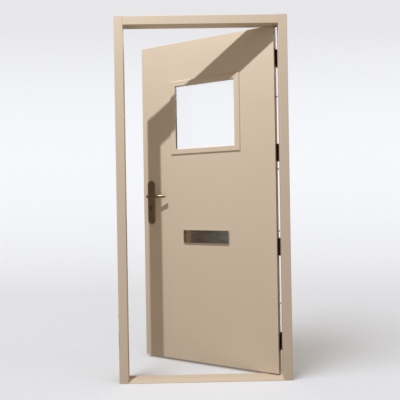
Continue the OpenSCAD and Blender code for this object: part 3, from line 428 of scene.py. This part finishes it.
def lever(name, node, out):
    """A cast lever: a round neck with a heel, and a flattened grip that bends back towards the leaf."""
    low, high = shut_box(node)
    face = PUSH_FACE if out < 0 else PULL_FACE
    outermost = low.y if out < 0 else high.y
    line_y = outermost - out * NECK_R
    start_y = face + out * NECK_START
    mesh = bmesh.new()
    rings = []
    for t, radius in NECK_SHAPE:
        centre = Vector((SPINDLE.x, start_y + (line_y - start_y) * t, SPINDLE.z))
        rings.append(ring_of(mesh, centre, RIGHT, UP, radius * MM, radius * MM, LEVER_SIDES))
    skin_rings(mesh, rings)
    heel = SPINDLE.x - NECK_R - HEEL_PAST
    rings = []
    for k in range(GRIP_STEPS + 1):
        t = (1 - math.cos(math.pi * k / GRIP_STEPS)) / 2
        bend = max(0, (t - GRIP_BEND_FROM) / (1 - GRIP_BEND_FROM))
        back = GRIP_BACK * bend * bend * (3 - 2 * bend)
        close = min(nose_width(t / HEEL_NOSE), nose_width((1 - t) / TIP_NOSE))
        thin = math.sin(math.pi * min(1, max(0, (t - GRIP_THIN_FROM) / (1 - GRIP_THIN_FROM))))
        half_thick = (NECK_R - GRIP_THINNER * thin) * close
        half_high = (NECK_R - GRIP_LOWER * thin) * close
        centre = Vector((heel + (high.x - heel) * t, line_y - out * back, SPINDLE.z))
        rings.append(ring_of(mesh, centre, INTO, UP, half_thick, half_high, LEVER_SIDES, GRIP_SQUARENESS))
    skin_rings(mesh, rings)
    mesh.transform(LEAF)
    add_piece(name, mesh, "handle", "handle_bronze", (node,))


COLLAR = ((10.4, 0), (16.5, 0), (16.5, 1.2), (15.6, 2.2),
          (13.8, 2.6), (13.2, 3.4), (12.0, 4.0), (10.4, 4.0))       # radius and distance out, in mm
COLLAR_SIDES = 48


def neck_collar(name, plate_node, out):
    """Turned collar where the lever's neck leaves its backplate."""
    low, high = shut_box(plate_node)
    plate = low.y if out < 0 else high.y
    axis = Vector((0, out, 0))
    side = axis.orthogonal().normalized()
    up = axis.cross(side)
    origin = Vector((SPINDLE.x, plate, SPINDLE.z))
    mesh = bmesh.new()
    rings = [ring_of(mesh, origin + axis * (d * MM), side, up, r * MM, r * MM, COLLAR_SIDES)
             for r, d in COLLAR + COLLAR[:1]]
    skin_rings(mesh, rings, False, False)
    mesh.transform(LEAF)
    add_piece(name, mesh, "leaf", "handle_bronze")


# ---- Screws ----

SCREW_SIDES = 32
RIM_SHARE = 0.96                    # radius of a head's flat, as a share of the head's
RIM_DROP = 0.12 * MM
SHANK_SHARE = 0.55                  # radius of a countersunk head where it meets the shank, as a share
CROSS_REACH = 0.55                  # the cross recess, as shares of the head's radius
CROSS_HALF_WIDTH = 0.13
CROSS_TAPER = 0.8
CROSS_DEPTH = 0.55                  # as a share of the head's depth


def loose_parts(node):
    """Vertices of each separate solid of a CAD node, always in the same order."""
    mesh = bmesh.new()
    mesh.from_mesh(nodes[node].data)
    bmesh.ops.remove_doubles(mesh, verts=mesh.verts, dist=MM / 1000)
    mesh.verts.index_update()
    reached = set()
    parts = []
    for first in mesh.verts:
        if first.index in reached:
            continue
        reached.add(first.index)
        stack = [first]
        found = []
        while stack:
            v = stack.pop()
            found.append(v.co.copy())
            for e in v.link_edges:
                other = e.other_vert(v)
                if other.index not in reached:
                    reached.add(other.index)
                    stack.append(other)
        parts.append(found)
    mesh.free()
    return parts


def screw_head(mesh, centre, out, radius, depth, cone):
    """A head whose flat face lies at centre, with a cross recess, and a stub of its shank."""
    side = out.orthogonal().normalized()
    up = out.cross(side)
    arm, half = radius * CROSS_REACH, radius * CROSS_HALF_WIDTH
    cross = [(arm, -half), (arm, half), (half, half), (half, arm), (-half, arm), (-half, half),
             (-arm, half), (-arm, -half), (-half, -half), (-half, -arm), (half, -arm), (half, -half)]
    round_points = circle(SCREW_SIDES)

    def loop(points, share, down):
        return [mesh.verts.new(centre + side * (a * share) + up * (b * share) - out * down)
                for a, b in points]

    rim = loop(round_points, radius * RIM_SHARE, 0)
    edge = loop(round_points, radius, RIM_DROP)
    foot = loop(round_points, radius * (SHANK_SHARE if cone else 1.0), depth)
    mouth = loop(cross, 1, 0)
    floor = loop(cross, CROSS_TAPER, depth * CROSS_DEPTH)
    skin_rings(mesh, [rim, edge, foot], False, True)
    skin_rings(mesh, [mouth, floor], False, True)
    edges = []
    for ring in (rim, mouth):
        for k in range(len(ring)):
            pair = (ring[k], ring[(k + 1) % len(ring)])
            edges.append(mesh.edges.get(pair) or mesh.edges.new(pair))
    bmesh.ops.triangle_fill(mesh, use_beauty=True, edges=edges)


def recessed_screws(node, body, slot, axis, radius=4.8 * MM, depth=2.4 * MM, cone=True):
    """Screws with a driver recess in place of a node's plain ones. axis points out of the heads."""
    mesh = bmesh.new()
    axis = axis.normalized()
    for part in loose_parts(node):
        top = max(p.dot(axis) for p in part)
        head = [p for p in part if p.dot(axis) > top - MM / 100]
        centre = sum(head, Vector()) / len(head)
        screw_head(mesh, centre, axis, radius, depth, cone)
    add_piece(node + "_recessed", mesh, body, slot, (node,), smooth=False)


# ---- Window bead ----

BEAD_NOSE = 5 * MM                  # radius of the rounded edge at the glass
BEAD_NOSE_STEPS = (18, 36, 54, 72, 90)
BEAD_DEEP = 7 * MM                  # how far the bead's foot goes into the leaf
BEAD_FOOT = 6 * MM                  # the foot's thickness
BEAD_GAP = 0.12 * MM                # half the mitre's open line


def bead_profile(width, rise):
    """The bead's section as (distance from the clear view, height over the skin)."""
    points = [(0, -BEAD_DEEP), (0, rise - BEAD_NOSE)]
    for a in (math.radians(d) for d in BEAD_NOSE_STEPS):
        points.append((BEAD_NOSE - BEAD_NOSE * math.cos(a), rise - BEAD_NOSE + BEAD_NOSE * math.sin(a)))
    points += [(width - 6 * MM, rise), (width - 4.6 * MM, rise - 0.5 * MM)]
    points += [(width - 0.6 * MM, rise * 0.42), (width, rise * 0.2), (width, 0)]
    return points + [(BEAD_FOOT, 0), (BEAD_FOOT, -BEAD_DEEP)]


def mitred_bead():
    """The window's bead as four lengths that meet in fine mitre lines, with a rounded inner edge."""
    low, high = shut_box("push_bead")
    middle = (low.x + high.x) / 2
    view_x = min(abs(p.x - middle) for p in shut_points("push_bead"))
    width = (high.x - low.x) / 2 - view_x
    view_z = (high.z - low.z) / 2 - width
    centre = Vector((middle, PUSH_FACE, (low.z + high.z) / 2))
    profile = bead_profile(width, PUSH_FACE - low.y)
    mesh = bmesh.new()
    for quarter in range(4):
        turn = Matrix.Rotation(quarter * math.pi / 2, 4, "Y")
        across, along = (view_z, view_x) if quarter % 2 == 0 else (view_x, view_z)
        ends = []
        for sign in (-1, 1):
            places = [Vector((sign * (along + u - BEAD_GAP), -h, across + u)) for u, h in profile]
            ends.append([mesh.verts.new(centre + turn @ place) for place in places])
        skin_rings(mesh, ends)
    mesh.transform(LEAF)
    add_piece("push_bead_mitred", mesh, "leaf", "beige_paint", ("push_bead",), smooth=False)


# ---- The door ----

for name, node in nodes.items():
    node.data.materials.clear()
    node.data.materials.append(MATERIALS[slot_of[name]])
# The lock jamb's paint has small dark marks low on its outer front edge.
nodes["lock_jamb"].data.materials[0] = powder_coat("beige_paint_marked", marked=True)

lever("push_lever_cast", "push_lever", -1)
lever("pull_lever_cast", "pull_lever", 1)
neck_collar("push_neck_collar", "push_handle_plate", -1)
neck_collar("pull_neck_collar", "pull_handle_plate", 1)
mitred_bead()

to_hinge_edge = LEAF.to_3x3() @ RIGHT
to_pull = LEAF.to_3x3() @ INTO
recessed_screws("bead_screws", "leaf", "zinc_steel", to_pull)
recessed_screws("handle_bolts", "leaf", "satin_steel", to_pull)
recessed_screws("letter_bolts", "leaf", "satin_steel", to_pull, 4.5 * MM, 2.7 * MM, cone=False)
recessed_screws("door_hinge_screws", "leaf", "satin_steel", to_hinge_edge)
recessed_screws("forend_screws", "leaf", "zinc_steel", -to_hinge_edge)
recessed_screws("frame_hinge_screws", "frame", "satin_steel", -RIGHT)
recessed_screws("keep_screws", "frame", "satin_steel", RIGHT)


# ---- Studio ----

STUDIO_HALF = 12.0
STUDIO_FRONT = -9.0
STUDIO_BACK = 7.4
STUDIO_HEIGHT = 9.0
COVE_RADIUS = 5.0
COVE_STEPS = 32


def studio():
    """Pale floor that curves up into a pale backdrop."""
    cove = STUDIO_BACK - COVE_RADIUS
    line = [(STUDIO_FRONT, 0.0), (cove, 0.0)]
    for k in range(1, COVE_STEPS + 1):
        a = math.pi / 2 * k / COVE_STEPS
        line.append((cove + COVE_RADIUS * math.sin(a), COVE_RADIUS - COVE_RADIUS * math.cos(a)))
    line.append((STUDIO_BACK, STUDIO_HEIGHT))
    mesh = bmesh.new()
    rows = [[mesh.verts.new((x, y, z)) for x in (-STUDIO_HALF, STUDIO_HALF)] for y, z in line]
    for a, b in zip(rows, rows[1:]):
        mesh.faces.new((a[0], a[1], b[1], b[0]))
    data = bpy.data.meshes.new("studio")
    mesh.to_mesh(data)
    mesh.free()
    for face in data.polygons:
        face.use_smooth = True
    floor = bpy.data.objects.new("studio", data)
    bpy.context.scene.collection.objects.link(floor)
    paper = Surface("studio_paper", rgb(240, 240, 242), roughness=0.9, sockets={"Specular IOR Level": 0.1})
    data.materials.append(paper.done())
    floor.visible_diffuse = False
    floor.visible_glossy = False
    return floor


# ---- Light. A lamp's power is in watts, a sun's strength in watts per square metre ----

KEY_WAY = Vector((0.2278, 0.4971, -0.8372))     # the way the key's light goes at the opening's top left
KEY_AWAY = 4.0
KEY_POWER = 228
KEY_SIZE = 0.10
KEY_COLOUR = (0.93, 0.965, 1.0)
LOW_FILL = 9
LOW_FILL_COLOUR = (0.94, 0.98, 1.0)
GLINT = 0.055
GLINT_COLOUR = (0.62, 0.82, 1.0)
REAR_FILL = 60
REAR_COLOUR = (1.0, 0.99, 0.97)
WASHES = (("wash_back", (0, 0.9, -0.30), 1.77, 150),            # way, strength, spread in degrees
          ("wash_floor", (0.62, 0.42, -0.9), 1.45, 40))
WASH_COLOUR = (0.87, 0.93, 1.0)
WORLD = 0.315
WORLD_COLOUR = (1.0, 0.87, 0.745, 1)
MIRRORED = 0.13
MIRRORED_COLOUR = (1.0, 0.82, 0.66, 1)
SEEN_COLOUR = (0.86, 0.87, 0.89, 1)


def only_on(light, thing):
    """Keeps a light to one object."""
    lit = bpy.data.collections.new(light.name + "_lights")
    lit.objects.link(thing)
    light.light_linking.receiver_collection = lit


def all_but(light, thing):
    """Lights everything but one object."""
    only_on(light, thing)
    lit = light.light_linking.receiver_collection
    lit.collection_objects[0].light_linking.link_state = "EXCLUDE"


def add_light(name, kind, place, aim, energy, colour, **settings):
    """A light at a place, aimed at a point, that the camera doesn't see."""
    data = bpy.data.lights.new(name, kind)
    data.energy = energy
    data.color = colour
    for key, value in settings.items():
        setattr(data, key, value)
    made = bpy.data.objects.new(name, data)
    made.location = place
    made.rotation_euler = (Vector(aim) - Vector(place)).to_track_quat("-Z", "Y").to_euler()
    made.visible_camera = False
    bpy.context.scene.collection.objects.link(made)
    return made


def lamps(floor):
    """A key high at the front left, fills and a glint that leave the floor alone, and the floor's washes."""
    corner = Vector((OPENING_LEFT, FRAME_LOW.y, OPENING_TOP))
    key = add_light("key", "AREA", corner - KEY_WAY * KEY_AWAY, corner, KEY_POWER, KEY_COLOUR,
                    shape="DISK", size=KEY_SIZE)
    low = add_light("low_fill", "AREA", (-0.7, -2.3, 0.04), (0, 0.1, 0.8), LOW_FILL, LOW_FILL_COLOUR,
                    size=2.6)
    glint = add_light("glint", "AREA", (-2.75, -2.62, 0.5), (0.11, 0.15, 0.81), GLINT, GLINT_COLOUR,
                      shape="RECTANGLE", size=0.5, size_y=0.3)
    rear = add_light("rear_fill", "AREA", (1.3, 2.7, 3.4), (0, 0.2, 1.0), REAR_FILL, REAR_COLOUR, size=1.6)
    for lamp in (key, low, glint, rear):
        all_but(lamp, floor)
    for name, way, strength, spread in WASHES:
        wash = add_light(name, "SUN", (0, 0, 0), way, strength, WASH_COLOUR, angle=math.radians(spread))
        only_on(wash, floor)


def surroundings():
    """A world that lights warmly, is dimmer in reflections, and is pale to the camera and through glass."""
    world = bpy.data.worlds.new("studio_light")
    bpy.context.scene.world = world
    world.use_nodes = True
    tree = world.node_tree
    soft = tree.nodes["Background"]
    soft.inputs["Color"].default_value = WORLD_COLOUR
    soft.inputs["Strength"].default_value = WORLD
    path = add_node(tree, "LightPath")
    dim = add_node(tree, "Background", {"Color": MIRRORED_COLOUR, "Strength": MIRRORED})
    pale = add_node(tree, "Background", {"Color": SEEN_COLOUR})
    seen = add_node(tree, "Math", operation="MAXIMUM")
    tree.links.new(path.outputs["Is Camera Ray"], seen.inputs[0])
    tree.links.new(path.outputs["Is Transmission Ray"], seen.inputs[1])
    lit = mix_shaders(tree, path.outputs["Is Glossy Ray"], soft.outputs[0], dim.outputs[0])
    final = mix_shaders(tree, seen.outputs[0], lit, pale.outputs[0])
    tree.links.new(final, tree.nodes["World Output"].inputs["Surface"])


# ---- Camera ----

EYE_X = -0.0475
EYE_BEFORE_FRAME = 2.520
EYE_HEIGHT = 1.045
LENS = 39.7
SENSOR = 36
PITCH, LEAN, PAN = (math.radians(d) for d in (-0.046, 0.969, -0.633))


def camera():
    """Standing view from the push side, a little left of the middle, with the photo's slight lean."""
    data = bpy.data.cameras.new("view")
    data.sensor_width = SENSOR
    data.lens = LENS
    made = bpy.data.objects.new("view", data)
    made.location = (EYE_X, FRAME_LOW.y - EYE_BEFORE_FRAME, EYE_HEIGHT)
    made.rotation_euler = (math.pi / 2 + PITCH, LEAN, PAN)
    bpy.context.scene.collection.objects.link(made)
    bpy.context.scene.camera = made


lamps(studio())
surroundings()
camera()
bpy.context.scene.view_settings.view_transform = "Standard"
